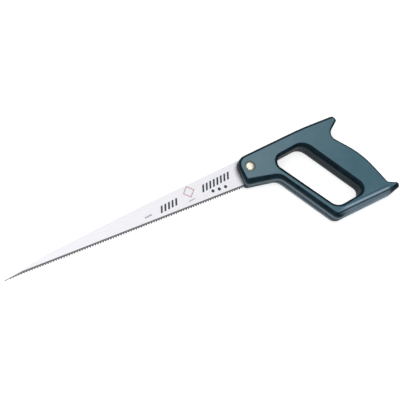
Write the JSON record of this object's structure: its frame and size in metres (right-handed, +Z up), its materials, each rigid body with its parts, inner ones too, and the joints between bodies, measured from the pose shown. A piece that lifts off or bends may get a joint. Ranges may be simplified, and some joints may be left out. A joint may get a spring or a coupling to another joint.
{
  "type": "hand saw",
  "caption": "Compass hand saw with a long tapered toothed blade, clamped by a brass screw in a closed pistol-grip handle made of moulded plastic shells.",
  "frame": {"origin": "centre of the bounding box, on the face of the right cheek that the saw rests on", "axes": "+X along the tooth line from the toe to the butt, +Y from the teeth towards the back of the blade, +Z up through both cheeks"},
  "size_m": [0.4774, 0.119, 0.025],
  "materials": {
    "blade_steel": "bright satin, ground lengthwise, with small printed marks",
    "handle_plastic": "satin blue-grey moulded plastic",
    "brass": "turned and lightly polished",
    "zinc_steel": "bright zinc plated"
  },
  "bodies": {
    "handle": {"handle_left_shell": "handle_plastic", "handle_right_shell": "handle_plastic", "post_nut": "brass", "shell_screws": "zinc_steel"},
    "blade": {"blade": "blade_steel"},
    "washer": {"cup_washer": "brass"},
    "screw": {"blade_screw": "brass"}
  },
  "joints": [
    {"name": "blade_slide", "type": "slide", "parent": "handle", "child": "blade", "axis": [-1, 0, 0], "range_m": [0, 0.04]},
    {"name": "screw_lift", "type": "slide", "parent": "handle", "child": "washer", "axis": [0, 0, 1], "range_m": [0, 0.0088]},
    {"name": "screw_turn", "type": "hinge", "parent": "washer", "child": "screw", "pos_m": [0.07395, 0.03753, 0.025], "axis": [0, 0, 1], "range_deg": [0, 3961]}
  ],
  "couplings": [
    {"joint": "screw_turn", "follows": "screw_lift", "rad_per_m": 7854}
  ]
}
